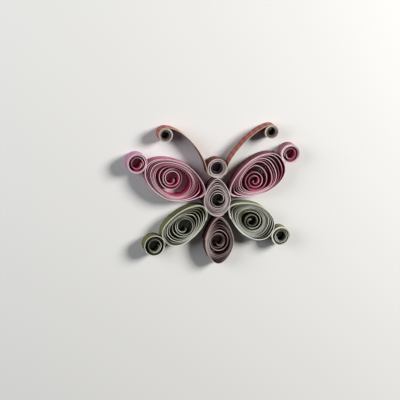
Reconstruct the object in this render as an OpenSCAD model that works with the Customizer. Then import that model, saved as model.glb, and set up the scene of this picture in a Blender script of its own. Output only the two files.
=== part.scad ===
// Quilled paper butterfly that lies flat, seen from above with its head towards +Y.
// Every piece is one strip of paper, rolled up, pinched to shape and standing on its edge.
// Coils are laid out from the thorax outwards, each one against the coil that carries it.

/* [Paper] */
// Width of the paper strips, which is the height of every coil
strip_w = 7; // [4:0.5:10]
// Thickness of the paper
paper_t = 0.35; // [0.2:0.05:0.4]
// Air between turns that lie packed against each other
turn_gap = 0.1; // [0.1:0.05:0.25]
// Film of glue between two coils that touch
glue_gap = 0.1; // [0.1:0.05:0.3]
// Share of its radius by which the inner end of a pinched coil bends into the eye
inner_bend_share = 0.55; // [0.2:0.05:0.8]
// Share of its radius by which the inner end of a round coil bends into the eye
round_bend_share = 0.15; // [0:0.05:0.5]

/* [Thorax] */
// Length from the widest place to the pinched top
thorax_top = 12.3; // [11:0.1:15]
// Length from the widest place to the round bottom
thorax_bottom = 9.5; // [8.5:0.1:12]
// Width from the middle to the left side
thorax_left = 8.2; // [7.5:0.1:10]
// Width from the middle to the right side
thorax_right = 7.3; // [7:0.1:10]
// Reach of the innermost packed turn towards the top
thorax_ring_top = 6.2; // [5.5:0.1:7.5]
// Reach of the innermost packed turn towards the bottom
thorax_ring_bottom = 5.2; // [4.8:0.1:5.4]
// How strongly the packed turns crowd towards the eye at the top, below 0 towards the rim
thorax_top_crowd = 0.3; // [-0.1:0.05:0.5]
// Turns that lie packed along the outline
thorax_packed_turns = 6; // [3:1:6]
// Loose turns around the eye
thorax_loose_turns = 1; // [1:1:2]
// Air between the loose turns
thorax_loose_gap = 0.5; // [0.2:0.05:0.8]
// Direction of the pinched top
thorax_angle = 93; // [86:1:98]

/* [Head] */
// Outer radius of the head coil
head_r = 5.7; // [5:0.1:8]
// Turns that lie packed along the outline
head_packed_turns = 4; // [2:1:5]
// Loose turns around the eye
head_loose_turns = 1; // [1:1:2]
// Air between the loose coil and the packed turns
head_slack = 0.2; // [0:0.05:0.4]
// Air between the loose turns
head_loose_gap = 0.2; // [0.1:0.05:0.4]

/* [Tail] */
// Length from the widest place to the pinched top
tail_top = 15; // [13:0.1:20]
// Length from the widest place to the bottom
tail_bottom = 12.7; // [11:0.1:16]
// Width from the middle to the left side
tail_left = 8.1; // [7:0.1:11]
// Width from the middle to the right side
tail_right = 8.7; // [7:0.1:11]
// Reach of the innermost packed turn towards the top
tail_ring_top = 7.6; // [7:0.1:9]
// Reach of the innermost packed turn towards the bottom
tail_ring_bottom = 7.4; // [6.5:0.1:8.5]
// How strongly the packed turns crowd towards the eye at the top, below 0 towards the rim
tail_top_crowd = 0.2; // [-0.1:0.05:0.4]
// How strongly the packed turns crowd towards the eye at the bottom, below 0 towards the rim
tail_bottom_crowd = 0.2; // [-0.1:0.05:0.3]
// Shift of the eye from the widest place towards the top
tail_eye = 0.9; // [0:0.1:1.5]
// Shift of the eye from the middle towards the left side
tail_eye_left = 0.7; // [0:0.1:1]
// Turns that lie packed along the outline
tail_packed_turns = 5; // [3:1:6]
// Loose turns around the eye
tail_loose_turns = 1.8; // [1:0.1:3]
// Air between the loose coil and the packed turns
tail_slack = 0.2; // [0:0.05:0.6]
// Air between the loose turns
tail_loose_gap = 0.3; // [0.2:0.05:0.8]
// Direction of the bottom
tail_angle = 268.4; // [262:0.2:276]

/* [Upper left wing] */
// Length from the widest place to the blunt end
ul_end = 19.4; // [16:0.1:23]
// Length from the widest place to the pinched root
ul_root = 18.3; // [16.2:0.1:22]
// Width from the middle to the upper side
ul_high = 10.3; // [9:0.1:13]
// Width from the middle to the lower side
ul_low = 11.9; // [10:0.1:14]
// Reach of the innermost packed turn towards the end
ul_ring_end = 12.6; // [11:0.1:14]
// Reach of the innermost packed turn towards the root
ul_ring_root = 9.3; // [8:0.1:11]
// How strongly the packed turns crowd towards the eye at the end, below 0 towards the rim
ul_end_crowd = 0.2; // [-0.1:0.05:0.4]
// How strongly the packed turns crowd towards the eye at the root, below 0 towards the rim
ul_root_crowd = 0.5; // [-0.1:0.05:0.5]
// Shift of the eye from the widest place towards the end
ul_eye = 3; // [0:0.1:4]
// Turns that lie packed along the outline
ul_packed_turns = 7; // [4:1:8]
// Loose turns around the eye
ul_loose_turns = 2.05; // [1:0.05:3]
// Air between the loose coil and the packed turns
ul_slack = 0.6; // [0:0.1:1.2]
// Air between the loose turns
ul_loose_gap = 0.95; // [0.2:0.05:1.2]
// Direction of the end
ul_angle = 151.9; // [145:0.1:158]
// Place of the root around the thorax
ul_seat_angle = 64; // [54:1:74]

/* [Upper right wing] */
// Length from the widest place to the blunt end
ur_end = 15.2; // [12:0.1:18]
// Length from the widest place to the pinched root
ur_root = 20.1; // [18.4:0.1:24]
// Width from the middle to the upper side
ur_high = 10.4; // [9:0.1:13]
// Width from the middle to the lower side
ur_low = 11; // [10:0.1:14]
// Reach of the innermost packed turn towards the end
ur_ring_end = 5.6; // [5.2:0.1:8.5]
// Reach of the innermost packed turn towards the root
ur_ring_root = 12.4; // [10:0.1:13.4]
// How strongly the packed turns crowd towards the eye at the end, below 0 towards the rim
ur_end_crowd = 0.3; // [-0.1:0.05:0.4]
// How strongly the packed turns crowd towards the eye at the root, below 0 towards the rim
ur_root_crowd = 0.3; // [-0.1:0.05:0.4]
// Shift of the eye from the widest place towards the root
ur_eye = 4.4; // [0:0.1:4.8]
// Shift of the eye from the middle towards the lower side
ur_eye_low = 1.2; // [0:0.1:2]
// Turns that lie packed along the outline
ur_packed_turns = 6; // [3:1:7]
// Loose turns around the eye
ur_loose_turns = 2.15; // [1:0.05:2.2]
// Air between the loose coil and the packed turns
ur_slack = 0.2; // [0.1:0.1:0.6]
// Air between the loose turns
ur_loose_gap = 1.6; // [0.2:0.05:2]
// Direction of the end
ur_angle = 28.7; // [22:0.1:36]
// Place of the root around the thorax
ur_seat_angle = 287; // [277:1:297]

/* [Lower left wing] */
// Length from the widest place to the blunt end
ll_end = 12.8; // [11:0.1:16]
// Length from the widest place to the root
ll_root = 16.3; // [14:0.1:20]
// Width from the middle to the upper side
ll_high = 7.7; // [7.2:0.1:10]
// Width from the middle to the lower side
ll_low = 9.6; // [8.5:0.1:12]
// Reach of the innermost packed turn towards the end
ll_ring_end = 7.5; // [6.8:0.1:8.5]
// Reach of the innermost packed turn towards the root
ll_ring_root = 9.1; // [7.5:0.1:11]
// How strongly the packed turns crowd towards the eye at the end, below 0 towards the rim
ll_end_crowd = -0.15; // [-0.2:0.05:0.2]
// Shift of the eye from the widest place towards the root
ll_eye = 1.1; // [0:0.1:2]
// Shift of the eye from the middle towards the lower side
ll_eye_low = 1; // [0:0.1:1.2]
// Turns that lie packed along the outline
ll_packed_turns = 5; // [3:1:6]
// Loose turns around the eye
ll_loose_turns = 1.85; // [1:0.05:2.5]
// Air between the loose coil and the packed turns
ll_slack = 0; // [0:0.05:0.6]
// Air between the loose turns
ll_loose_gap = 0.7; // [0.2:0.05:1.2]
// Direction of the end
ll_angle = 215.8; // [209:0.1:222]
// Place of the root around the thorax
ll_seat_angle = 113; // [103:1:123]

/* [Lower right wing] */
// Length from the widest place to the blunt end
lr_end = 14.1; // [11:0.1:17]
// Length from the widest place to the pinched root
lr_root = 16.1; // [14:0.1:20]
// Width from the middle to the upper side
lr_high = 9.9; // [8.5:0.1:12]
// Width from the middle to the lower side
lr_low = 9.1; // [8.5:0.1:12]
// Reach of the innermost packed turn towards the end
lr_ring_end = 6.4; // [6:0.1:8]
// Reach of the innermost packed turn towards the root
lr_ring_root = 7.4; // [6.5:0.1:9.4]
// How strongly the packed turns crowd towards the eye at the end, below 0 towards the rim
lr_end_crowd = 0.45; // [-0.1:0.05:0.5]
// How strongly the packed turns crowd towards the eye at the root, below 0 towards the rim
lr_root_crowd = 0.4; // [-0.1:0.05:0.5]
// Turns that lie packed along the outline
lr_packed_turns = 9; // [5:1:10]
// Loose turns around the eye
lr_loose_turns = 1.2; // [1:0.05:2]
// Air between the loose coil and the packed turns
lr_slack = 0.8; // [0:0.1:1.2]
// Air between the loose turns
lr_loose_gap = 0.95; // [0.2:0.05:1.2]
// Direction of the end
lr_angle = 325.1; // [318:0.1:332]
// Place of the root around the thorax
lr_seat_angle = 239; // [229:1:249]

/* [Tip coils] */
// Outer radius of the coil at the upper left wing
ul_tip_r = 5.8; // [4.5:0.1:8]
// Outer radius of the coil at the upper right wing
ur_tip_r = 5.7; // [4.5:0.1:8]
// Outer radius of the coil at the lower left wing
ll_tip_r = 6.1; // [4.5:0.1:8]
// Outer radius of the coil at the lower right wing
lr_tip_r = 5.7; // [4.5:0.1:8]
// Place of the coil around the upper left wing
ul_tip_seat_angle = 2; // [-12:1:12]
// Place of the coil around the upper right wing
ur_tip_seat_angle = 3; // [-12:1:12]
// Place of the coil around the lower left wing
ll_tip_seat_angle = -3; // [-12:1:12]
// Place of the coil around the lower right wing
lr_tip_seat_angle = 4; // [-12:1:12]
// Turns that lie packed along the outline
tip_packed_turns = 3; // [2:1:4]
// Loose turns around the eye
tip_loose_turns = 1; // [1:1:2]
// Air between the loose coil and the packed turns
tip_slack = 0.4; // [0:0.05:0.5]
// Air between the loose turns
tip_loose_gap = 0.25; // [0.1:0.05:0.4]

/* [Antennae] */
// Distance of the left coil from the head sideways
left_reach = 29.2; // [24:0.2:36]
// Height of the left coil above the head
left_rise = 20.6; // [17:0.2:26]
// Outer radius of the left coil
left_coil_r = 4.2; // [3.6:0.1:6]
// How far the left strip keeps its direction at both ends of its stem
left_pull = 10; // [7:0.5:14]
// Distance of the right coil from the head sideways
right_reach = 31.4; // [26:0.2:38]
// Height of the right coil above the head
right_rise = 18.8; // [15:0.2:24]
// Outer radius of the right coil
right_coil_r = 4.1; // [3.6:0.1:6]
// How far the right strip keeps its direction at both ends of its stem
right_pull = 8; // [7:0.5:14]
// How far below the head's middle a foot begins, as an angle
foot_low_angle = 40; // [25:1:45]
// How far below the head's middle the strip leaves the head, as an angle
foot_leave_angle = 8; // [0:1:15]
// Turns that lie packed along the outline of a coil
antenna_packed_turns = 2; // [2:1:3]
// Loose turns around the eye of a coil
antenna_loose_turns = 1; // [1:1:2]
// Air between the loose turns
antenna_loose_gap = 0.2; // [0.1:0.05:0.3]

/* [Hidden] */

pitch = paper_t + turn_gap;
// Points along one turn of a pinched coil, of a round coil and of an antenna's coil
pinched_n = 18;
round_n = 14;
antenna_n = 12;
// Points along an antenna's foot and its free stem
foot_n = 3;
stem_n = 12;
// Part of a turn over which the inner end bends into the eye
bend_turns = 0.3;
// Ways that a strip winds from its outer end to its inner end, seen from above
clockwise = -1;
counterclockwise = 1;
// Stations at the front and the rear of a coil, and the turn from a spoke to its rim
ahead_angle = 0;
behind_angle = 180;
quarter_turn = 90;
// Stations at which the outer ends of the strips are glued down
thorax_seam_angle = 200;
head_seam_angle = 270;
tail_seam_angle = 260;
ul_seam_angle = 160;
ur_seam_angle = 200;
ll_seam_angle = 140;
lr_seam_angle = 220;
left_tip_seam_angle = 0;
right_tip_seam_angle = 180;
antenna_seam_angle = 90;
// How far out the crowding of packed turns lasts, and the room that they keep as a share of the pitch
crowd_power = 3;
crowd_room = 1.15;
// Turn from one station to the next where the room around an eye is measured
room_step_angle = 5;
// Powers that shape an outline: sharp at a pinch, softer at a light pinch, full at a blunt end
sharp = 1.55;
light = 1.75;
full = 2.35;
oval = 2;

// An outline holds the lengths ahead and behind, the widths left and right and the two powers
function outline(ahead, behind, left, right, ahead_p, behind_p) =
    [ahead, behind, left, right, ahead_p, behind_p];
function inset(o, d) = [o[0] - d, o[1] - d, o[2] - d, o[3] - d, o[4], o[5]];
function signed_pow(v, e) = sign(v) * pow(abs(v), e);
function mix(a, b, s) = a + (b - a) * s;
function turned(p, a) = [p.x * cos(a) - p.y * sin(a), p.x * sin(a) + p.y * cos(a)];
function unit(v) = v / norm(v);
function part_of_turn(s) = s - floor(s);

// Point of an outline at station u: 0 is ahead, 90 left, 180 behind and 270 right
function station(u, o) =
    let (power = cos(u) > 0 ? o[4] : o[5])
    let (length = cos(u) > 0 ? o[0] : o[1])
    let (width = sin(u) > 0 ? o[2] : o[3])
    [length * signed_pow(cos(u), 2 / power), width * signed_pow(sin(u), 2 / power)];

// A coil holds its outline, its innermost packed turn, the place of its eye, the radii of its
// loose turns, its packed and loose turns, the station of its outer end, the way it winds from
// there, its points along one turn, its direction, its crowding ahead and behind and its inner bend
function coil(o, ring_ahead, ring_behind, crowd, eye, slack, loose_gap, packed, loose, first, way, n, dir,
    bend) =
    let (ring = [ring_ahead, ring_behind, o[2] - packed * pitch, o[3] - packed * pitch, oval, oval])
    let (room = min([for (u = [0 : room_step_angle : 360]) norm(station(u, ring) - eye)]))
    let (core_r = room - pitch - slack)
    let (eye_r = core_r - loose * (paper_t + loose_gap))
    [o, ring, eye, core_r, eye_r, packed, loose, first, way, n, dir, crowd, bend];
function turns(c) = c[6] + 1 + c[5];

// Middle of a packed turn at station u, a share s of the way from the innermost to the outermost one.
// Turns crowd at both ends of a coil, as far as there is room to spare beside their pitch
function packed_point(s, u, c) =
    let (inner = station(u, c[1]))
    let (outer = station(u, inset(c[0], pitch)))
    let (spare = max(0, 1 - crowd_room * pitch * (c[5] - 1) / norm(outer - inner)))
    let (wish = (cos(u) > 0 ? c[11][0] : c[11][1]) * cos(u) * cos(u))
    let (crowd = max(-spare / crowd_power, min(spare, wish)))
    mix(inner, outer, s * (1 - crowd * (1 - pow(s, crowd_power))));

// Middle of the strip after m turns, counted from the inner end, at station u
function turn_point(m, u, c) =
    let (total = turns(c))
    m > total - 1 ? station(u, inset(c[0], pitch * (total - m))) :
    m > c[6] + 1 ? packed_point((m - c[6] - 1) / (c[5] - 1), u, c) :
    m > c[6] ? mix(c[2] + c[3] * [cos(u), sin(u)], station(u, c[1]), m - c[6]) :
    let (bend = 1 - c[12] * pow(max(0, 1 - m / bend_turns), 2))
    c[2] + mix(c[4], c[3], m / c[6]) * bend * [cos(u), sin(u)];

// Middle of the whole strip from its outer end to its inner end, around the coil's own middle
function roll(c) =
    [for (k = [0 : turns(c) * c[9]])
        turned(turn_point(turns(c) - k / c[9], c[7] + c[8] * k * 360 / c[9], c), c[10])];

// Middle of the outermost turn at station u, and the way out of the coil there
function rim(c, u) =
    turned(turn_point(turns(c) - part_of_turn(c[8] * (u - c[7]) / 360), u, c), c[10]);
function way_out(c, u) =
    let (along = unit(rim(c, u + 1) - rim(c, u - 1)))
    [along.y, -along.x];

// Outline of a strip of paper that stands on a path
function across(path, i) =
    let (last = len(path) - 1)
    let (to = unit(path[max(i, 1)] - path[max(i, 1) - 1]))
    let (from = unit(path[min(i, last - 1) + 1] - path[min(i, last - 1)]))
    let (middle = unit(to + from))
    [-middle.y, middle.x] / (middle * to);
function edge(path, d) = [for (i = [0 : len(path) - 1]) path[i] + d * across(path, i)];
function backwards(list) = [for (i = [len(list) - 1 : -1 : 0]) list[i]];
function ribbon(path) = concat(edge(path, paper_t / 2), backwards(edge(path, -paper_t / 2)));

// How far a shape reaches in one direction
function reach(shape, way) = max([for (p = shape) p * way]);
function heading(a) = [cos(a), sin(a)];

// Place of a coil whose rear end sits on the rim of another coil
function seated(seat, shape, way) = seat + (paper_t / 2 + glue_gap + reach(shape, -way)) * way;

// Round coil with its outer end at station first
function round_coil(r, slack, loose_gap, packed, loose, first, way, n) =
    let (middle_r = r - paper_t / 2)
    let (ring_r = middle_r - packed * pitch)
    coil(outline(middle_r, middle_r, middle_r, middle_r, oval, oval), ring_r, ring_r, [0, 0], [0, 0],
        slack, loose_gap, packed, loose, first, way, n, 0, round_bend_share);

// Thorax, head and tail
thorax_coil = coil(outline(thorax_top, thorax_bottom, thorax_left, thorax_right, sharp, oval),
    thorax_ring_top, thorax_ring_bottom, [thorax_top_crowd, 0], [0, 0], 0, thorax_loose_gap,
    thorax_packed_turns, thorax_loose_turns, thorax_seam_angle, clockwise, pinched_n, thorax_angle,
    inner_bend_share);
thorax_shape = ribbon(roll(thorax_coil));
thorax_at = [0, 0];

head_coil = round_coil(head_r, head_slack, head_loose_gap, head_packed_turns, head_loose_turns,
    head_seam_angle, counterclockwise, round_n);
head_shape = ribbon(roll(head_coil));
head_at = [rim(thorax_coil, ahead_angle).x,
    reach(thorax_shape, [0, 1]) + glue_gap + reach(head_shape, [0, -1])];

tail_coil = coil(outline(tail_bottom, tail_top, tail_right, tail_left, light, sharp),
    tail_ring_bottom, tail_ring_top, [tail_bottom_crowd, tail_top_crowd], [-tail_eye, -tail_eye_left],
    tail_slack, tail_loose_gap, tail_packed_turns, tail_loose_turns,
    tail_seam_angle, clockwise, pinched_n, tail_angle, inner_bend_share);
tail_shape = ribbon(roll(tail_coil));
tail_at = [rim(thorax_coil, behind_angle).x,
    -reach(thorax_shape, [0, -1]) - glue_gap - reach(tail_shape, [0, 1])];

// Wings, each with its root on the thorax
ul_coil = coil(outline(ul_end, ul_root, ul_low, ul_high, oval, sharp), ul_ring_end, ul_ring_root,
    [ul_end_crowd, ul_root_crowd], [ul_eye, 0], ul_slack, ul_loose_gap, ul_packed_turns, ul_loose_turns,
    ul_seam_angle, counterclockwise, pinched_n, ul_angle, inner_bend_share);
ul_shape = ribbon(roll(ul_coil));
ul_at = seated(rim(thorax_coil, ul_seat_angle), ul_shape, heading(ul_angle));

ur_coil = coil(outline(ur_end, ur_root, ur_high, ur_low, full, sharp), ur_ring_end, ur_ring_root,
    [ur_end_crowd, ur_root_crowd], [-ur_eye, -ur_eye_low], ur_slack, ur_loose_gap,
    ur_packed_turns, ur_loose_turns, ur_seam_angle, clockwise, pinched_n, ur_angle, inner_bend_share);
ur_shape = ribbon(roll(ur_coil));
ur_at = seated(rim(thorax_coil, ur_seat_angle), ur_shape, heading(ur_angle));

ll_coil = coil(outline(ll_end, ll_root, ll_low, ll_high, full, oval), ll_ring_end, ll_ring_root,
    [ll_end_crowd, 0], [-ll_eye, ll_eye_low], ll_slack, ll_loose_gap, ll_packed_turns, ll_loose_turns,
    ll_seam_angle, counterclockwise, pinched_n, ll_angle, inner_bend_share);
ll_shape = ribbon(roll(ll_coil));
ll_at = seated(rim(thorax_coil, ll_seat_angle), ll_shape, heading(ll_angle));

lr_coil = coil(outline(lr_end, lr_root, lr_high, lr_low, full, sharp), lr_ring_end, lr_ring_root,
    [lr_end_crowd, lr_root_crowd], [0, 0], lr_slack, lr_loose_gap, lr_packed_turns, lr_loose_turns,
    lr_seam_angle, clockwise, pinched_n, lr_angle, inner_bend_share);
lr_shape = ribbon(roll(lr_coil));
lr_at = seated(rim(thorax_coil, lr_seat_angle), lr_shape, heading(lr_angle));

// Tip coils, each one on the rim of its wing
function tip_coil(r, first, way) =
    round_coil(r, tip_slack, tip_loose_gap, tip_packed_turns, tip_loose_turns, first, way, round_n);
function tip_place(wing, wing_at, u, shape) =
    seated(wing_at + rim(wing, u), shape, way_out(wing, u));
ul_tip_shape = ribbon(roll(tip_coil(ul_tip_r, left_tip_seam_angle, counterclockwise)));
ul_tip_at = tip_place(ul_coil, ul_at, ul_tip_seat_angle, ul_tip_shape);
ur_tip_shape = ribbon(roll(tip_coil(ur_tip_r, right_tip_seam_angle, clockwise)));
ur_tip_at = tip_place(ur_coil, ur_at, ur_tip_seat_angle, ur_tip_shape);
ll_tip_shape = ribbon(roll(tip_coil(ll_tip_r, left_tip_seam_angle, counterclockwise)));
ll_tip_at = tip_place(ll_coil, ll_at, ll_tip_seat_angle, ll_tip_shape);
lr_tip_shape = ribbon(roll(tip_coil(lr_tip_r, right_tip_seam_angle, clockwise)));
lr_tip_at = tip_place(lr_coil, lr_at, lr_tip_seat_angle, lr_tip_shape);

// Antennae: a foot glued along the head, a free stem and a coil at its end
function stem_point(a, b, c, d, s) =
    pow(1 - s, 3) * a + 3 * pow(1 - s, 2) * s * b + 3 * (1 - s) * s * s * c + s * s * s * d;
function antenna_path(reach_x, rise, coil_r, pull, head_rim) =
    let (foot_r = head_rim + paper_t + glue_gap)
    let (start = foot_r * heading(-foot_leave_angle))
    let (top = [reach_x, rise + coil_r - paper_t / 2])
    let (stem_way = heading(quarter_turn - foot_leave_angle))
    let (c = round_coil(coil_r, 0, antenna_loose_gap, antenna_packed_turns, antenna_loose_turns,
        antenna_seam_angle, clockwise, antenna_n))
    concat([for (i = [0 : foot_n - 1])
            foot_r * heading(mix(-foot_low_angle, -foot_leave_angle, i / foot_n))],
        [for (i = [0 : stem_n - 1]) stem_point(start, start + pull * stem_way, top - [pull, 0], top,
            i / stem_n)],
        [for (p = roll(c)) [reach_x, rise] + p]);
function mirrored(path) = [for (p = path) [-p.x, p.y]];
foot_middle_angle = (foot_low_angle + foot_leave_angle) / 2;
left_shape = ribbon(mirrored(antenna_path(left_reach, left_rise, left_coil_r, left_pull,
    norm(rim(head_coil, behind_angle + foot_middle_angle)))));
right_shape = ribbon(antenna_path(right_reach, right_rise, right_coil_r, right_pull,
    norm(rim(head_coil, ahead_angle - foot_middle_angle))));

// All shapes where they lie, and the middle of the box around them
placed = [[thorax_shape, thorax_at], [head_shape, head_at], [tail_shape, tail_at], [ul_shape, ul_at],
    [ur_shape, ur_at], [ll_shape, ll_at], [lr_shape, lr_at], [ul_tip_shape, ul_tip_at],
    [ur_tip_shape, ur_tip_at], [ll_tip_shape, ll_tip_at], [lr_tip_shape, lr_tip_at],
    [left_shape, head_at], [right_shape, head_at]];
function farthest(way) = max([for (piece = placed) reach(piece[0], way) + piece[1] * way]);
box_middle = [farthest([1, 0]) - farthest([-1, 0]), farthest([0, 1]) - farthest([0, -1])] / 2;

// A strip of paper on its edge
module strip(shape, at) {
    translate(at - box_middle)
        linear_extrude(strip_w)
            polygon(shape);
}

module thorax() { color("dimgray") strip(thorax_shape, thorax_at); }
module head() { color("dimgray") strip(head_shape, head_at); }
module tail() { color("rosybrown") strip(tail_shape, tail_at); }
module upper_left_wing() { color("palevioletred") strip(ul_shape, ul_at); }
module upper_right_wing() { color("palevioletred") strip(ur_shape, ur_at); }
module lower_left_wing() { color("darkseagreen") strip(ll_shape, ll_at); }
module lower_right_wing() { color("darkseagreen") strip(lr_shape, lr_at); }
module upper_left_tip() { color("plum") strip(ul_tip_shape, ul_tip_at); }
module upper_right_tip() { color("plum") strip(ur_tip_shape, ur_tip_at); }
module lower_left_tip() { color("darkseagreen") strip(ll_tip_shape, ll_tip_at); }
module lower_right_tip() { color("darkseagreen") strip(lr_tip_shape, lr_tip_at); }
module left_antenna() { color("indianred") strip(left_shape, head_at); }
module right_antenna() { color("indianred") strip(right_shape, head_at); }

thorax();
head();
tail();
upper_left_wing();
upper_right_wing();
lower_left_wing();
lower_right_wing();
upper_left_tip();
upper_right_tip();
lower_left_tip();
lower_right_tip();
left_antenna();
right_antenna();
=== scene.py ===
import bisect
import math
import bpy
from mathutils import Matrix, Vector, noise


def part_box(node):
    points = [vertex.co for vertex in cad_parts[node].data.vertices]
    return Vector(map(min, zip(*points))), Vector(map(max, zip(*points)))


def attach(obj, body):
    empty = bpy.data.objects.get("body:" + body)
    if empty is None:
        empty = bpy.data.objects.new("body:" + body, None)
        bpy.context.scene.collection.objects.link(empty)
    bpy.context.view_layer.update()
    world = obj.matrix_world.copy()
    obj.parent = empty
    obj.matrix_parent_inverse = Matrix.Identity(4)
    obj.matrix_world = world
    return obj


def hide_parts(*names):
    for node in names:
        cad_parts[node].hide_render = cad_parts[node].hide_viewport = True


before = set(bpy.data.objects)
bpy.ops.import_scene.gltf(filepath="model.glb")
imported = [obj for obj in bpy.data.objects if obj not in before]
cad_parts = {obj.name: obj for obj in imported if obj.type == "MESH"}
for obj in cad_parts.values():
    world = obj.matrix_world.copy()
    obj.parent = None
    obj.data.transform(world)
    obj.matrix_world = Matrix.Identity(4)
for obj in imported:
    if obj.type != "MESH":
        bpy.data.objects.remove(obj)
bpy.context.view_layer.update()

mm = 0.001  # sizes below are in millimetres, the frame is in metres
print("frame loaded:", len(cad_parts), "strips to roll")

# the paper stock that every piece is rolled from
stock = {
    "width": 7.0,
    "thickness": 0.35,
    "air": 0.1,             # between turns that lie packed
    "glue": 0.1,            # film of glue between two coils
    "samples": 80,          # path points in one turn
    "faceLength": 0.4,      # along a strip
    "faceRows": 3,          # across a strip
    "corner": 0.045,        # rounding of the cut corners
    "cornerSteps": 2,
    "cornerAngle": 60,
    "smoothAngle": 35,
    "lift": 0.2,            # how far turns ride up in a roll that was pressed flat by hand
    "liftWave": 21.0,       # length over which that changes
    "levelLift": 0.6,       # the outermost turn has this share of the lift, all round
    "levelTurns": 0.85,     # and ends here
    "levelBlend": 0.3,
    "seedStep": 3.7,
    "dip": 0.45,            # how far the upper edges of inner turns fall short
    "groupReach": 0.4,      # how much that differs around a roll
    "groupStep": 0.6,       # and from one turn to the next
    "sink": 0.9,            # how much deeper the shaded turns of a small coil sit
    "sinkTurns": 0.15,      # part of a turn over which they go down
    "fade": 0.38,           # how much darker the cut edges are near the eye
    "fadeTurns": (2, 6),    # turns over which that comes on
    "bendShare": 0.55,      # how far the inner end of a pinched coil bends into the eye
    "roundBendShare": 0.15,
    "bendTurns": 0.3,
    "crowdPower": 3,        # how far out the crowding of packed turns lasts
    "crowdRoom": 1.15,      # room that crowded turns keep, as a share of their pitch
}
pitch = stock["thickness"] + stock["air"]

# powers of an outline: a hard pinch, a light pinch, an ellipse and a blunt end
pinch = 1.55
lightPinch = 1.75
oval = 2.0
blunt = 2.35

clockwise = -1  # from the outer end to the inner end, seen from above
counterClockwise = 1


def blendOf(a, b, share):
    return a + (b - a) * share


def signedPower(value, power):
    return math.copysign(abs(value) ** power, value)


# sides are the lengths ahead and behind and the widths left and right
def outlinePoint(u, sides, powers):
    along = math.cos(u)
    across = math.sin(u)
    exponent = 2 / (powers[0] if along > 0 else powers[1])
    length = sides[0] if along > 0 else sides[1]
    width = sides[2] if across > 0 else sides[3]
    return Vector((length * signedPower(along, exponent), width * signedPower(across, exponent)))


def shrunk(sides, amount):
    return [side - amount for side in sides]


# lengths and widths of the innermost packed turn
def innerSides(coil):
    depth = coil["packed"] * pitch
    return [*coil["ring"], coil["sides"][2] - depth, coil["sides"][3] - depth]


# radius of the loose core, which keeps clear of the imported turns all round
def coreRadiusOf(coil):
    eye = Vector(coil["eye"])
    ways = [outlinePoint(math.radians(u), innerSides(coil), (oval, oval)) - eye for u in range(0, 360, 5)]
    return min(way.length for way in ways) - pitch - coil["slack"]


# middle of a packed turn, crowded at both ends of a coil as far as there is room
def packedPoint(share, u, coil):
    inner = outlinePoint(u, innerSides(coil), (oval, oval))
    outer = outlinePoint(u, shrunk(coil["sides"], pitch), coil["powers"])
    spare = max(0, 1 - stock["crowdRoom"] * pitch * (coil["packed"] - 1) / (outer - inner).length)
    wish = coil["crowd"][0 if math.cos(u) > 0 else 1] * math.cos(u) ** 2
    crowd = max(-spare / stock["crowdPower"], min(spare, wish))
    return blendOf(inner, outer, share * (1 - crowd * (1 - share ** stock["crowdPower"])))


# middle of the strip after so many turns, counted from the inner end
def turnPoint(turn, u, coil, coreRadius):
    loose = coil["loose"]
    packed = coil["packed"]
    total = loose + 1 + packed
    eye = Vector(coil["eye"])
    spoke = Vector((math.cos(u), math.sin(u)))
    if turn > total - 1:  # the outermost turn slips under its own end
        return outlinePoint(u, shrunk(coil["sides"], pitch * (total - turn)), coil["powers"])
    if turn > loose + 1:
        return packedPoint((turn - loose - 1) / (packed - 1), u, coil)
    if turn > loose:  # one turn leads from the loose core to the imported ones
        inner = outlinePoint(u, innerSides(coil), (oval, oval))
        return blendOf(eye + coreRadius * spoke, inner, turn - loose)
    eyeRadius = coreRadius - loose * (stock["thickness"] + coil["looseGap"])
    bend = 1 - coil.get("bendShare", stock["bendShare"]) * max(0, 1 - turn / stock["bendTurns"]) ** 2
    return eye + blendOf(eyeRadius, coreRadius, turn / loose) * bend * spoke


# middle of a whole roll from its outer end to its inner end
def rollPath(coil):
    total = coil["loose"] + 1 + coil["packed"]
    coreRadius = coreRadiusOf(coil)
    aim = Matrix.Rotation(math.radians(coil["angle"]), 2)
    path = []
    for k in range(round(total * stock["samples"]) + 1):
        turned = k / stock["samples"]
        u = math.radians(coil["seam"]) + coil["winding"] * turned * math.tau
        path.append(aim @ turnPoint(total - turned, u, coil, coreRadius))
    return path


def roundCoil(radius, packed, loose, slack, looseGap, seam, winding):
    middle = radius - stock["thickness"] / 2
    inner = middle - packed * pitch
    return {
        "sides": [middle] * 4, "powers": (oval, oval), "ring": (inner, inner), "crowd": (0, 0),
        "eye": (0, 0), "slack": slack, "looseGap": looseGap, "packed": packed, "loose": loose,
        "seam": seam, "winding": winding, "angle": 0, "bendShare": stock["roundBendShare"],
    }


# moves a path so that its box lies in the middle of its CAD node's box
def seatPath(path, nodeName):
    low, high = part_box(nodeName)
    middle = Vector((low.x + high.x, low.y + high.y)) / 2 / mm
    xs = [point.x for point in path]
    ys = [point.y for point in path]
    offset = middle - Vector((min(xs) + max(xs), min(ys) + max(ys))) / 2
    return [point + offset for point in path]


def deselectAll():
    if bpy.context.object and bpy.context.object.mode != "OBJECT":
        bpy.ops.object.mode_set(mode="OBJECT")
    bpy.ops.object.select_all(action="DESELECT")


def applyModifier(piece, kind, **settings):
    modifier = piece.modifiers.new(kind.lower(), kind)
    for key, value in settings.items():
        setattr(modifier, key, value)
    bpy.context.view_layer.objects.active = piece
    bpy.ops.object.modifier_apply(modifier=modifier.name)


# lengths along a path and the turns that it has made there
def turnTable(path):
    lengths = [0.0]
    turns = [0.0]
    for before, here, after in zip(path, path[1:], path[2:]):
        lengths.append(lengths[-1] + (here - before).length)
        turns.append(turns[-1] + (here - before).angle_signed(after - here) / math.tau)
    lengths.append(lengths[-1] + (path[-1] - path[-2]).length)
    turns.append(turns[-1])
    return lengths, [abs(turn) for turn in turns]


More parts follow.
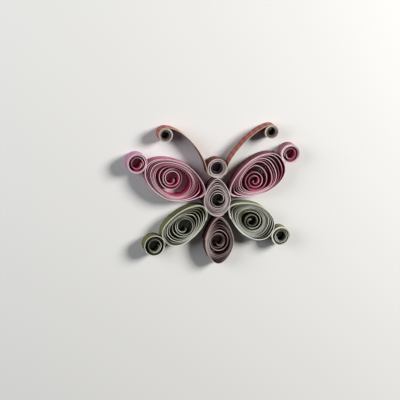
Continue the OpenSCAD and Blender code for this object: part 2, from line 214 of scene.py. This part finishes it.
def turnsAt(table, along):
    lengths, turns = table
    k = min(max(bisect.bisect(lengths, along), 1), len(lengths) - 1)
    share = (along - lengths[k - 1]) / (lengths[k] - lengths[k - 1])
    return blendOf(turns[k - 1], turns[k], share)


# a flat strip of paper that lies along X, standing on its long edge, with its printed face outwards
def flatStrip(nodeName, table, width, winding):
    length = table[0][-1]
    deselectAll()
    columns = round(length / stock["faceLength"])
    bpy.ops.mesh.primitive_grid_add(x_subdivisions=columns, y_subdivisions=stock["faceRows"], size=1)
    piece = bpy.context.object
    piece.name = nodeName + "_paper"
    piece.data.name = piece.name
    sheetMap = piece.data.uv_layers.active  # in millimetres of paper
    turnMap = piece.data.uv_layers.new(name="turns")  # turns counted from the outer end
    for onSheet, onTurns in zip(sheetMap.data, turnMap.data):
        onSheet.uv = (onSheet.uv.x * length, onSheet.uv.y * width)
        onTurns.uv = (turnsAt(table, onSheet.uv.x), onSheet.uv.y / width)
    bpy.ops.object.mode_set(mode="EDIT")
    bpy.ops.mesh.select_all(action="SELECT")
    bpy.ops.transform.resize(value=(length * mm, width * mm, 1), center_override=(0, 0, 0))
    bpy.ops.transform.rotate(value=-math.pi / 2, orient_axis="X", center_override=(0, 0, 0))
    bpy.ops.transform.translate(value=(length / 2 * mm, 0, width / 2 * mm))
    bpy.ops.object.mode_set(mode="OBJECT")
    outwards = -winding  # the outside lies to the right of a strip that winds counter-clockwise
    if piece.data.polygons[0].normal.y * outwards < 0:
        bpy.ops.object.mode_set(mode="EDIT")
        bpy.ops.mesh.flip_normals()
        bpy.ops.object.mode_set(mode="OBJECT")
    return piece


# lets turns ride up a little and end at uneven heights, never below the surface that the roll stands on
def raiseTurns(piece, table, width, seed, shaded):
    for vertex in piece.data.vertices:
        along = vertex.co.x / mm
        turn = turnsAt(table, along)
        inside = min(max((turn - stock["levelTurns"]) / stock["levelBlend"], 0), 1)
        lift = 0.5 + 0.5 * noise.noise(Vector((along / stock["liftWave"], seed, 0)))
        spoke = Vector((math.cos(turn * math.tau), math.sin(turn * math.tau))) * stock["groupReach"]
        group = noise.noise(Vector((*spoke, turn * stock["groupStep"] + seed * stock["seedStep"])))
        dip = inside * min(max(0.5 + group, 0), 1) * stock["dip"]
        if shaded:
            begun = min(max((turn - shaded[0]) / stock["sinkTurns"], 0), 1)
            ended = min(max((turn - shaded[1]) / stock["sinkTurns"], 0), 1)
            dip += (begun - ended) * stock["sink"]
        vertex.co.z *= 1 - dip / width
        vertex.co.z += blendOf(stock["levelLift"], lift, inside) * stock["lift"] * mm


def guideCurve(path):
    deselectAll()
    bpy.ops.curve.primitive_nurbs_path_add()
    guide = bpy.context.object
    guide.data.twist_mode = "Z_UP"
    spline = guide.data.splines[0]
    spline.type = "POLY"
    spline.points.add(len(path) - len(spline.points))
    for knot, point in zip(spline.points, path):
        knot.co = (point.x * mm, point.y * mm, 0, 1)
    return guide


# rolls a strip along its path, gives it the paper's thickness and softens the cut corners
def rollStrip(nodeName, path, winding, paper, seed, shaded=None):
    low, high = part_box(nodeName)
    path = seatPath(path, nodeName)
    table = turnTable(path)
    width = (high.z - low.z) / mm
    piece = flatStrip(nodeName, table, width, winding)
    raiseTurns(piece, table, width, seed, shaded)
    guide = guideCurve(path)
    applyModifier(piece, "CURVE", object=guide, deform_axis="POS_X")
    bpy.data.objects.remove(guide)
    for material in paper:
        piece.data.materials.append(material)
    applyModifier(piece, "SOLIDIFY", thickness=stock["thickness"] * mm, offset=0, use_even_offset=True,
                  material_offset=1, material_offset_rim=2)
    applyModifier(piece, "BEVEL", width=stock["corner"] * mm, segments=stock["cornerSteps"],
                  limit_method="ANGLE", angle_limit=math.radians(stock["cornerAngle"]), material=2)
    deselectAll()
    piece.select_set(True)
    bpy.context.view_layer.objects.active = piece
    bpy.ops.object.shade_smooth_by_angle(angle=math.radians(stock["smoothAngle"]))
    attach(piece, "root")
    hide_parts(nodeName)
    print("rolled", nodeName, round(table[0][-1]), "mm,", len(piece.data.polygons), "faces")


def addNode(material, kind, **settings):
    node = material.node_tree.nodes.new(kind)
    for key, value in settings.items():
        setattr(node, key, value)
    return node


def setInputs(node, **values):
    for key, value in values.items():
        node.inputs[key.replace("_", " ")].default_value = value


def joinNodes(material, source, target):
    material.node_tree.links.new(source, target)


def newMaterial(name, roughness):
    material = bpy.data.materials.new(name)
    material.use_nodes = True
    shader = material.node_tree.nodes["Principled BSDF"]
    shader.inputs["Roughness"].default_value = roughness
    shader.inputs["Specular IOR Level"].default_value = 0.25
    return material, shader


def noiseOf(material, vector, scale, detail):
    texture = addNode(material, "ShaderNodeTexNoise")
    setInputs(texture, Scale=scale, Detail=detail, Roughness=0.6)
    joinNodes(material, vector, texture.inputs["Vector"])
    return texture.outputs["Fac"]


def rangeOf(material, value, fromLow, fromHigh, toLow, toHigh, smooth=False):
    blend = "SMOOTHSTEP" if smooth else "LINEAR"
    remap = addNode(material, "ShaderNodeMapRange", interpolation_type=blend)
    for key, number in zip((1, 2, 3, 4), (fromLow, fromHigh, toLow, toHigh)):
        remap.inputs[key].default_value = number
    joinNodes(material, value, remap.inputs[0])
    return remap.outputs[0]


def mathOf(material, operation, first, second):
    node = addNode(material, "ShaderNodeMath", operation=operation)
    for socket, value in zip(node.inputs, (first, second)):
        if isinstance(value, (int, float)):
            socket.default_value = value
        else:
            joinNodes(material, value, socket)
    return node.outputs[0]


def mixColours(material, share, first, second):
    node = addNode(material, "ShaderNodeMix", data_type="RGBA")
    for socket, value in zip((node.inputs[0], node.inputs[6], node.inputs[7]), (share, first, second)):
        if isinstance(value, tuple):
            socket.default_value = (*value, 1)
        else:
            joinNodes(material, value, socket)
    return node.outputs[2]


# finish of a strip's two sides; scales count per metre, those of the grain per millimetre of paper
faceFinish = {
    "grain": (0.9, 4.5, 1),  # fibres lie along the strip
    "grainDetail": 6,
    "mottle": 140.0,
    "mottleDetail": 3,
    "speck": 2600.0,
    "speckDetail": 4,
    "streak": 1.6,
    "wornReach": 0.4,        # millimetres from a cut edge
    "wornOver": 0.05,
    "roughSpread": 0.08,
    "bump": 0.6,
    "bumpDepth": 0.00008,
}


# the printed or dyed side of a strip
def faceMaterial(name, look):
    material, shader = newMaterial(name, look["roughness"])
    space = addNode(material, "ShaderNodeTexCoord").outputs["Object"]
    sheet = addNode(material, "ShaderNodeUVMap", uv_map="UVMap").outputs["UV"]
    grain = addNode(material, "ShaderNodeMapping")
    grain.inputs["Scale"].default_value = faceFinish["grain"]
    joinNodes(material, sheet, grain.inputs["Vector"])
    fibre = noiseOf(material, grain.outputs["Vector"], 1.0, faceFinish["grainDetail"])
    mottle = noiseOf(material, space, faceFinish["mottle"], faceFinish["mottleDetail"])
    speck = noiseOf(material, space, faceFinish["speck"], faceFinish["speckDetail"])
    cloudy = rangeOf(material, mottle, 0.35, 0.65, 0, 1)
    colour = mixColours(material, cloudy, look["deep"], look["light"])
    if "check" in look:
        colour = checkPrint(material, sheet, colour, look)
    streaks = rangeOf(material, fibre, 0.5, 0.75, 0, faceFinish["streak"] * look["fibre"])
    colour = mixColours(material, streaks, colour, look["core"])
    height = addNode(material, "ShaderNodeSeparateXYZ")
    joinNodes(material, space, height.inputs[0])
    half = stock["width"] / 2 * mm
    fromMiddle = mathOf(material, "ABSOLUTE", mathOf(material, "SUBTRACT", height.outputs["Z"], half), 0)
    wornFrom = half - faceFinish["wornReach"] * mm
    wornTo = half + faceFinish["wornOver"] * mm
    worn = rangeOf(material, fromMiddle, wornFrom, wornTo, 0, 1, True)
    worn = mathOf(material, "MULTIPLY", worn, rangeOf(material, speck, 0.35, 0.6, 0, look["worn"]))
    colour = mixColours(material, worn, colour, look["core"])
    joinNodes(material, colour, shader.inputs["Base Color"])
    smoothest = look["roughness"] - faceFinish["roughSpread"]
    roughest = look["roughness"] + faceFinish["roughSpread"]
    rough = rangeOf(material, fibre, 0.3, 0.7, smoothest, roughest)
    joinNodes(material, rough, shader.inputs["Roughness"])
    bump = addNode(material, "ShaderNodeBump")
    setInputs(bump, Strength=faceFinish["bump"], Distance=faceFinish["bumpDepth"])
    joinNodes(material, mathOf(material, "ADD", fibre, speck), bump.inputs["Height"])
    joinNodes(material, bump.outputs["Normal"], shader.inputs["Normal"])
    return material


# soft bars and rows that cross, as on checked paper
def checkPrint(material, sheet, colour, look):
    split = addNode(material, "ShaderNodeSeparateXYZ")
    joinNodes(material, sheet, split.inputs[0])
    bars = []
    for axis in ("X", "Y"):
        wave = mathOf(material, "PINGPONG", split.outputs[axis], look["check"] / 2)
        bars.append(rangeOf(material, wave, look["check"] * 0.23, look["check"] * 0.27, 0, 0.5, True))
    ink = mathOf(material, "ADD", bars[0], bars[1])
    return mixColours(material, ink, colour, look["ink"])


# finish of the cut edges
edgeFinish = {
    "roughness": 0.9,
    "speck": 4200.0,
    "speckDetail": 5,
    "speckShare": 0.12,
    "groupShare": 0.6,   # turns that lie together are alike
    "singleShare": 0.4,  # and turns side by side differ
    "singleScale": 0.03,
    # painted shade: across this range of the turn noise an edge goes from its shaded colour to its lit
    # one
    "turnShade": (0.42, 0.58),
    "rimBlend": 0.12,
    "bump": 0.25,
    "bumpDepth": 0.00003,
}


# the cut edge, where the pale core of the paper shows, with painted shade and highlight on some turns
def edgeMaterial(name, look):
    material, shader = newMaterial(name, edgeFinish["roughness"])
    space = addNode(material, "ShaderNodeTexCoord").outputs["Object"]
    sheet = addNode(material, "ShaderNodeUVMap", uv_map="UVMap").outputs["UV"]
    turns = addNode(material, "ShaderNodeSeparateXYZ")
    turnMap = addNode(material, "ShaderNodeUVMap", uv_map="turns")
    joinNodes(material, turnMap.outputs["UV"], turns.inputs[0])
    speck = noiseOf(material, space, edgeFinish["speck"], edgeFinish["speckDetail"])
    angle = mathOf(material, "MULTIPLY", turns.outputs["X"], math.tau)
    ring = addNode(material, "ShaderNodeCombineXYZ")
    for axis, operation in enumerate(("COSINE", "SINE")):
        spoke = mathOf(material, "MULTIPLY", mathOf(material, operation, angle, 0), stock["groupReach"])
        joinNodes(material, spoke, ring.inputs[axis])
    rise = mathOf(material, "MULTIPLY", turns.outputs["X"], stock["groupStep"])
    joinNodes(material, rise, ring.inputs[2])
    group = noiseOf(material, ring.outputs[0], 1.0, 1)
    group = mathOf(material, "MULTIPLY", group, edgeFinish["groupShare"])
    single = noiseOf(material, sheet, edgeFinish["singleScale"], 2)  # changes along a strip
    single = mathOf(material, "MULTIPLY", single, edgeFinish["singleShare"])
    # painted shade: edges of some turns, in groups and singly, are painted dark as if they sat lower in
    # shadow
    turnShade = mathOf(material, "ADD", group, single)
    turnLit = rangeOf(material, turnShade, *edgeFinish["turnShade"], 0, 1, True)
    colour = mixColours(material, turnLit, look["edgeInShade"], look["edge"])
    if "innerEdge" in look:  # the edges grow darker towards the eye
        inwards = rangeOf(material, turns.outputs["X"], *stock["fadeTurns"], 0, stock["fade"])
        colour = mixColours(material, inwards, colour, look["innerEdge"])
    if "shaded" in look:  # painted shade: the cut edges of these turns take the shade colour; in most coils these turns also sit deeper, in the antennae they do not
        first, last = look["shaded"]
        begun = rangeOf(material, turns.outputs["X"], first, first + stock["sinkTurns"], 0, 1, True)
        ended = rangeOf(material, turns.outputs["X"], last, last + stock["sinkTurns"], 1, 0, True)
        colour = mixColours(material, mathOf(material, "MULTIPLY", begun, ended), colour, look["shade"])
    # painted highlight: the cut edges of the outermost turns take the brighter rim colour, as if the
    # outer turns caught more light; on the antennae this colours the stem's edges tan
    rimEnd = look["rimTurns"] + edgeFinish["rimBlend"]
    outermost = rangeOf(material, turns.outputs["X"], look["rimTurns"], rimEnd, 1, 0)
    rim = mathOf(material, "MULTIPLY", outermost, rangeOf(material, turnShade, 0.3, 0.55, 0.55, 1))
    colour = mixColours(material, rim, colour, look["rim"])
    specks = rangeOf(material, speck, 0.5, 0.75, 0, edgeFinish["speckShare"])
    colour = mixColours(material, specks, colour, look["deep"])
    joinNodes(material, colour, shader.inputs["Base Color"])
    bump = addNode(material, "ShaderNodeBump")
    setInputs(bump, Strength=edgeFinish["bump"], Distance=edgeFinish["bumpDepth"])
    joinNodes(material, speck, bump.inputs["Height"])
    joinNodes(material, bump.outputs["Normal"], shader.inputs["Normal"])
    return material


# outer face, inner face and cut edge of one kind of paper
def paperOf(name, outer, inner):
    faces = [faceMaterial(name + "_outer", outer), faceMaterial(name + "_inner", inner)]
    return [*faces, edgeMaterial(name + "_edge", outer)]


# looks of the papers: outer faces with their cut edges, and inner faces
roseOuter = {
    "deep": (0.31, 0.076, 0.15), "light": (0.42, 0.13, 0.235),
    "core": (0.58, 0.42, 0.46), "roughness": 0.78,
    "fibre": 0.18, "worn": 0.4,
    "edge": (0.72, 0.57, 0.6), "edgeInShade": (0.18, 0.068, 0.088), "innerEdge": (0.34, 0.12, 0.15),
    "rim": (0.74, 0.55, 0.62), "rimTurns": 0.95,
}
lilacOuter = {
    "deep": (0.38, 0.165, 0.275), "light": (0.49, 0.25, 0.38),
    "core": (0.58, 0.42, 0.47), "roughness": 0.78,
    "fibre": 0.18, "worn": 0.4,
    "edge": (0.62, 0.43, 0.48), "edgeInShade": (0.17, 0.055, 0.08),
    "rim": (0.7, 0.49, 0.58), "rimTurns": 2.2,
    "shaded": (2.4, 3.85), "shade": (0.06, 0.018, 0.027),
}
# upper right wing: the rose paper with its outer face painted darker, partly painted shade and partly a
# deeper tone
crimsonOuter = {
    "deep": (0.14, 0.028, 0.045), "light": (0.22, 0.062, 0.085),
    "core": (0.52, 0.36, 0.4), "roughness": 0.78,
    "fibre": 0.14, "worn": 0.4,
    "edge": (0.76, 0.61, 0.65), "edgeInShade": (0.24, 0.095, 0.12), "innerEdge": (0.42, 0.16, 0.2),
    "rim": (0.74, 0.56, 0.63), "rimTurns": 0.95,
}
# upper right tip: outer face painted darker than the lilac of the upper left tip, partly painted shade
# and partly a deeper tone
duskOuter = {
    "deep": (0.23, 0.08, 0.1), "light": (0.32, 0.13, 0.155),
    "core": (0.56, 0.42, 0.45), "roughness": 0.78,
    "fibre": 0.16, "worn": 0.4,
    "edge": (0.7, 0.55, 0.59), "edgeInShade": (0.2, 0.085, 0.11),
    "rim": (0.77, 0.61, 0.67), "rimTurns": 2.2,
    "shaded": (2.7, 3.9), "shade": (0.15, 0.075, 0.095),
}
crimsonInner = {
    "deep": (0.32, 0.02, 0.07), "light": (0.44, 0.045, 0.125),
    "core": (0.55, 0.24, 0.33), "roughness": 0.85,
    "fibre": 0.08, "worn": 0.3,
}
# the outer face colour is a sage tone darkened to a painted shade, as these walls lie mostly in shadow
sageOuter = {
    "deep": (0.11, 0.108, 0.05), "light": (0.17, 0.166, 0.09),
    "core": (0.48, 0.5, 0.42), "roughness": 0.8,
    "fibre": 0.18, "worn": 0.4,
    "edge": (0.68, 0.69, 0.62), "edgeInShade": (0.085, 0.087, 0.062), "innerEdge": (0.1, 0.102, 0.072),
    "rim": (0.76, 0.77, 0.67), "rimTurns": 0.95,
}
oliveOuter = {
    "deep": (0.085, 0.08, 0.026), "light": (0.14, 0.132, 0.056),
    "core": (0.46, 0.47, 0.37), "roughness": 0.8,
    "fibre": 0.18, "worn": 0.4,
    "edge": (0.69, 0.7, 0.61), "edgeInShade": (0.075, 0.077, 0.052), "innerEdge": (0.2, 0.2, 0.15),
    "rim": (0.68, 0.69, 0.57), "rimTurns": 0.95,
}
# painted shade: dark rings on the cut edges of the lower tips' shaded turns
sageTipOuter = {**sageOuter, "rimTurns": 1.7, "shaded": (1.9, 3.0), "shade": (0.022, 0.023, 0.018)}
oliveTipOuter = {**oliveOuter, "shaded": (0.95, 3.6), "shade": (0.022, 0.023, 0.018)}
mossInner = {
    "deep": (0.02, 0.021, 0.01), "light": (0.04, 0.041, 0.02),
    "core": (0.35, 0.36, 0.3), "roughness": 0.85,
    "fibre": 0.08, "worn": 0.3,
}
plumOuter = {
    "deep": (0.07, 0.028, 0.024), "light": (0.115, 0.05, 0.042),
    "core": (0.48, 0.4, 0.4), "roughness": 0.8,
    "fibre": 0.14, "worn": 0.4,
    "edge": (0.68, 0.58, 0.58), "edgeInShade": (0.2, 0.15, 0.15), "innerEdge": (0.24, 0.18, 0.175),
    "rim": (0.68, 0.58, 0.57), "rimTurns": 0.95,
}
russetOuter = {
    "deep": (0.11, 0.026, 0.019), "light": (0.175, 0.048, 0.034),
    "core": (0.46, 0.37, 0.37), "roughness": 0.8,
    "fibre": 0.14, "worn": 0.4,
    "edge": (0.62, 0.53, 0.53), "edgeInShade": (0.19, 0.135, 0.135),
    "rim": (0.64, 0.54, 0.54), "rimTurns": 0.95,
    "shaded": (4.3, 9), "shade": (0.05, 0.036, 0.036),
}
plumInner = {
    "deep": (0.022, 0.012, 0.012), "light": (0.04, 0.023, 0.023),
    "core": (0.35, 0.28, 0.29), "roughness": 0.85,
    "fibre": 0.08, "worn": 0.3,
}
mauveOuter = {
    "deep": (0.06, 0.019, 0.019), "light": (0.1, 0.036, 0.034),
    "core": (0.34, 0.26, 0.25), "roughness": 0.8,
    "fibre": 0.14, "worn": 0.4,
    "edge": (0.5, 0.41, 0.4), "edgeInShade": (0.045, 0.023, 0.024), "innerEdge": (0.15, 0.095, 0.09),
    "rim": (0.48, 0.385, 0.36), "rimTurns": 0.95,
}
mauveInner = {
    "deep": (0.034, 0.008, 0.009), "light": (0.06, 0.018, 0.019),
    "core": (0.26, 0.18, 0.18), "roughness": 0.85,
    "fibre": 0.08, "worn": 0.3,
}
checkOuter = {
    "deep": (0.31, 0.105, 0.085), "light": (0.38, 0.15, 0.12),
    "core": (0.5, 0.36, 0.27), "roughness": 0.75,
    "fibre": 0.14, "worn": 0.3,
    "edge": (0.6, 0.55, 0.51), "edgeInShade": (0.28, 0.23, 0.21),
    "rim": (0.5, 0.36, 0.23), "rimTurns": 0.3,
    "shaded": (2.3, 9), "shade": (0.085, 0.076, 0.07),
    "check": 3.5, "ink": (0.23, 0.052, 0.05),
}
checkInner = {
    "deep": (0.052, 0.018, 0.013), "light": (0.085, 0.031, 0.023),
    "core": (0.35, 0.25, 0.19), "roughness": 0.8,
    "fibre": 0.1, "worn": 0.3,
}
rosePaper = paperOf("rose", roseOuter, crimsonInner)
lilacPaper = paperOf("lilac", lilacOuter, crimsonInner)
crimsonPaper = paperOf("crimson", crimsonOuter, crimsonInner)
duskPaper = paperOf("dusk", duskOuter, crimsonInner)
sagePaper = paperOf("sage", sageOuter, mossInner)
olivePaper = paperOf("olive", oliveOuter, mossInner)
sageTipPaper = paperOf("sage_tip", sageTipOuter, mossInner)
oliveTipPaper = paperOf("olive_tip", oliveTipOuter, mossInner)
plumPaper = paperOf("plum", plumOuter, plumInner)
russetPaper = paperOf("russet", russetOuter, plumInner)
mauvePaper = paperOf("mauve", mauveOuter, mauveInner)
checkPaper = paperOf("check", checkOuter, checkInner)
print("papers mixed")

# thorax, pinched at the top
thorax = {
    "sides": [12.3, 9.5, 8.2, 7.3], "powers": (pinch, oval), "ring": (6.2, 5.2), "crowd": (0.3, 0),
    "eye": (0, 0), "slack": 0, "looseGap": 0.5, "packed": 6, "loose": 1,
    "seam": 200, "winding": clockwise, "angle": 93,
}
rollStrip("thorax", rollPath(thorax), thorax["winding"], plumPaper, 1)

# head, a tight round coil
headSizes = {
    "radius": 5.7, "packed": 4, "loose": 1, "slack": 0.2, "looseGap": 0.2, "seam": 270,
    "winding": counterClockwise,
}
head = roundCoil(**headSizes)
rollStrip("head", rollPath(head), head["winding"], russetPaper, 2, russetOuter["shaded"])

# tail, pinched at the top and lightly at the bottom
tail = {
    "sides": [12.7, 15, 8.7, 8.1], "powers": (lightPinch, pinch), "ring": (7.4, 7.6), "crowd": (0.2, 0.2),
    "eye": (-0.9, -0.7), "slack": 0.2, "looseGap": 0.3, "packed": 5, "loose": 1.8,
    "seam": 260, "winding": clockwise, "angle": 268.4,
}
rollStrip("tail", rollPath(tail), tail["winding"], mauvePaper, 3)

# wings, each with its root at the thorax
upperLeftWing = {
    "sides": [19.4, 18.3, 11.9, 10.3], "powers": (oval, pinch), "ring": (12.6, 9.3), "crowd": (0.2, 0.5),
    "eye": (3, 0), "slack": 0.6, "looseGap": 0.95, "packed": 7, "loose": 2.05,
    "seam": 160, "winding": counterClockwise, "angle": 151.9,
}
rollStrip("upper_left_wing", rollPath(upperLeftWing), upperLeftWing["winding"], rosePaper, 4)

upperRightWing = {
    "sides": [15.2, 20.1, 10.4, 11], "powers": (blunt, pinch), "ring": (5.6, 12.4), "crowd": (0.3, 0.3),
    "eye": (-4.4, -1.2), "slack": 0.2, "looseGap": 1.6, "packed": 6, "loose": 2.15,
    "seam": 200, "winding": clockwise, "angle": 28.7,
}
rollStrip("upper_right_wing", rollPath(upperRightWing), upperRightWing["winding"], crimsonPaper, 5)

lowerLeftWing = {
    "sides": [12.8, 16.3, 9.6, 7.7], "powers": (blunt, oval), "ring": (7.5, 9.1), "crowd": (-0.15, 0),
    "eye": (-1.1, 1), "slack": 0, "looseGap": 0.7, "packed": 5, "loose": 1.85,
    "seam": 140, "winding": counterClockwise, "angle": 215.8,
}
rollStrip("lower_left_wing", rollPath(lowerLeftWing), lowerLeftWing["winding"], olivePaper, 6)

lowerRightWing = {
    "sides": [14.1, 16.1, 9.9, 9.1], "powers": (blunt, pinch), "ring": (6.4, 7.4), "crowd": (0.45, 0.4),
    "eye": (0, 0), "slack": 0.8, "looseGap": 0.95, "packed": 9, "loose": 1.2,
    "seam": 220, "winding": clockwise, "angle": 325.1,
}
rollStrip("lower_right_wing", rollPath(lowerRightWing), lowerRightWing["winding"], sagePaper, 7)

# tip coils at the ends of the wings
tips = {
    "radius": {"upper_left_tip": 5.8, "upper_right_tip": 5.7, "lower_left_tip": 6.1,
               "lower_right_tip": 5.7},
    "paper": {"upper_left_tip": lilacPaper, "upper_right_tip": duskPaper,
              "lower_left_tip": oliveTipPaper, "lower_right_tip": sageTipPaper},
    "shaded": {"upper_left_tip": lilacOuter["shaded"], "upper_right_tip": duskOuter["shaded"],
               "lower_left_tip": oliveTipOuter["shaded"], "lower_right_tip": sageTipOuter["shaded"]},
    "packed": 3, "loose": 1, "slack": 0.4, "looseGap": 0.25, "leftSeam": 0, "rightSeam": 180,
}
for number, (tipName, tipRadius) in enumerate(tips["radius"].items()):
    onLeft = "left" in tipName
    tipSeam = tips["leftSeam"] if onLeft else tips["rightSeam"]
    tip = roundCoil(tipRadius, tips["packed"], tips["loose"], tips["slack"], tips["looseGap"], tipSeam,
                    counterClockwise if onLeft else clockwise)
    rollStrip(tipName, rollPath(tip), tip["winding"], tips["paper"][tipName], 8 + number,
              tips["shaded"][tipName])

# antennae: a foot along the head, a free stem and a coil
antennae = {
    "reach": {"left_antenna": 29.2, "right_antenna": 31.4},
    "rise": {"left_antenna": 20.6, "right_antenna": 18.8},
    "coilRadius": {"left_antenna": 4.2, "right_antenna": 4.1},
    "pull": {"left_antenna": 10, "right_antenna": 8},
    "footLow": 40, "footLeave": 8, "packed": 2, "loose": 1, "looseGap": 0.2, "seam": 90,
    "footSteps": 12, "stemSteps": 60,
}


def spokeAt(degrees):
    return Vector((math.cos(math.radians(degrees)), math.sin(math.radians(degrees))))


def antennaPath(name):
    reach = antennae["reach"][name]
    rise = antennae["rise"][name]
    coilRadius = antennae["coilRadius"][name]
    low = antennae["footLow"]
    leave = antennae["footLeave"]
    footRadius = head["sides"][0] + stock["thickness"] + stock["glue"]
    path = []
    for step in range(antennae["footSteps"]):
        path.append(footRadius * spokeAt(blendOf(-low, -leave, step / antennae["footSteps"])))
    start = footRadius * spokeAt(-leave)
    top = Vector((reach, rise + coilRadius - stock["thickness"] / 2))
    leaving = start + antennae["pull"][name] * spokeAt(90 - leave)
    arriving = top - Vector((antennae["pull"][name], 0))
    for step in range(antennae["stemSteps"]):
        s = step / antennae["stemSteps"]
        near = start * (1 - s) ** 3 + leaving * 3 * s * (1 - s) ** 2
        path.append(near + arriving * 3 * s * s * (1 - s) + top * s ** 3)
    coil = roundCoil(coilRadius, antennae["packed"], antennae["loose"], 0, antennae["looseGap"],
                     antennae["seam"], clockwise)
    path += [Vector((reach, rise)) + point for point in rollPath(coil)]
    return path


rightPath = antennaPath("right_antenna")
leftPath = [Vector((-point.x, point.y)) for point in antennaPath("left_antenna")]
rollStrip("left_antenna", leftPath, counterClockwise, checkPaper, 12)
rollStrip("right_antenna", rightPath, clockwise, checkPaper, 13)
print("all strips rolled")

# plain pale floor
floor = {"size": 3.0, "drop": 0.02, "colour": (0.62, 0.62, 0.61)}
deselectAll()
bpy.ops.mesh.primitive_plane_add(size=floor["size"], location=(0, 0, -floor["drop"] * mm))
ground = bpy.context.object
ground.name = "floor"
groundMaterial, groundShader = newMaterial("floor", 0.9)
groundShader.inputs["Base Color"].default_value = (*floor["colour"], 1)
ground.data.materials.append(groundMaterial)

# a large soft key from the upper right, a weaker fill from the left and a dim even sky
keyLight = {"place": (750, 335, 535), "size": 0.38, "power": 17.0, "colour": (1.0, 0.98, 0.95)}
fillLight = {"place": (-740, 320, 400), "size": 0.6, "power": 6.0, "colour": (0.95, 0.97, 1.0)}
sky = {"colour": (0.95, 0.97, 1.0), "level": 0.055}


def addSoftbox(name, box):
    deselectAll()
    bpy.ops.object.light_add(type="AREA", location=Vector(box["place"]) * mm)
    lamp = bpy.context.object
    lamp.name = name
    lamp.data.shape = "DISK"
    lamp.data.size = box["size"]
    lamp.data.energy = box["power"]
    lamp.data.color = box["colour"]
    lamp.rotation_euler = (-Vector(box["place"])).to_track_quat("-Z", "Y").to_euler()


addSoftbox("key_light", keyLight)
addSoftbox("fill_light", fillLight)
world = bpy.data.worlds.new("studio")
world.use_nodes = True
background = world.node_tree.nodes["Background"]
background.inputs["Color"].default_value = (*sky["colour"], 1)
background.inputs["Strength"].default_value = sky["level"]
bpy.context.scene.world = world
bpy.context.scene.view_settings.view_transform = "Standard"
print("floor and light set")

# camera above, a little from the upper left
view = {
    "place": (-272.68, 279.69, 1016.8), "aim": (-5.78, -4.88, -3), "lens": 175.1, "roll": -0.16,
    "sensor": 36, "reach": 10,
}
deselectAll()
bpy.ops.object.camera_add(location=Vector(view["place"]) * mm)
camera = bpy.context.object
sight = (Vector(view["aim"]) - Vector(view["place"])).normalized()
right = sight.cross(Vector((0, 1, 0))).normalized()
up = right.cross(sight)
upright = Matrix((right, up, -sight)).transposed()
camera.rotation_euler = (upright @ Matrix.Rotation(math.radians(view["roll"]), 3, "Z")).to_euler()
camera.data.lens = view["lens"]
camera.data.sensor_width = view["sensor"]
camera.data.clip_end = view["reach"]
bpy.context.scene.camera = camera
print("camera set")
